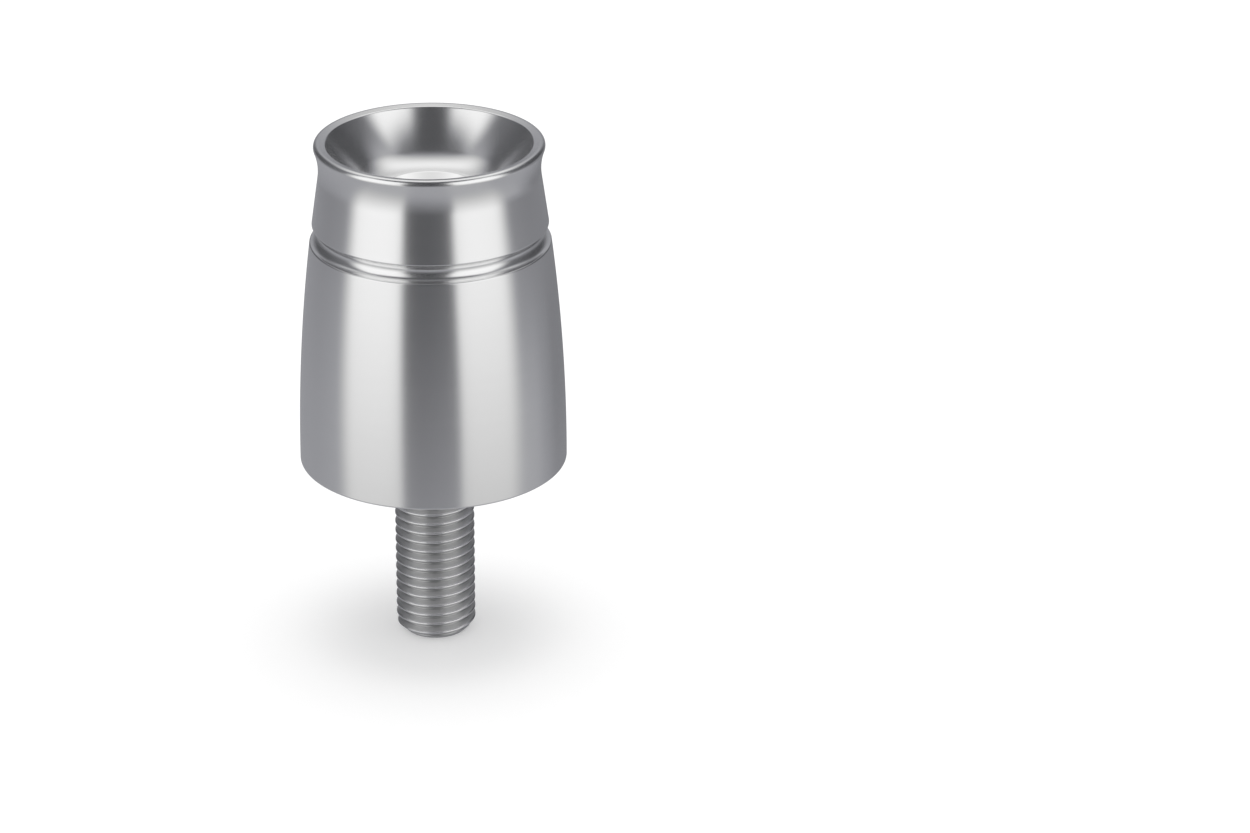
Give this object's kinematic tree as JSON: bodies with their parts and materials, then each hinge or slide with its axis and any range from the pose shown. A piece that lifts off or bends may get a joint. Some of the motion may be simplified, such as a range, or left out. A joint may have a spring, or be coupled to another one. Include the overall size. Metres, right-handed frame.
{
  "type": "bar end weight",
  "caption": "Turned silver bar end weight: swelling barrel with a groove, dished head with a flared lip and a hexagon key socket, and a threaded stud for the handlebar's end.",
  "frame": {"origin": "centre of the flat seat that meets the handlebar's end, on the axis", "axes": "+Z along the axis, out of the handlebar towards the dished head; the stud points to -Z; the hexagon socket has corners on the X axis"},
  "size_m": [0.033, 0.033, 0.0649],
  "materials": {
    "anodised_aluminium": "satin silver anodised over fine turning marks"
  },
  "bodies": {
    "root": {"bar_end_weight": "anodised_aluminium"}
  },
  "joints": []
}
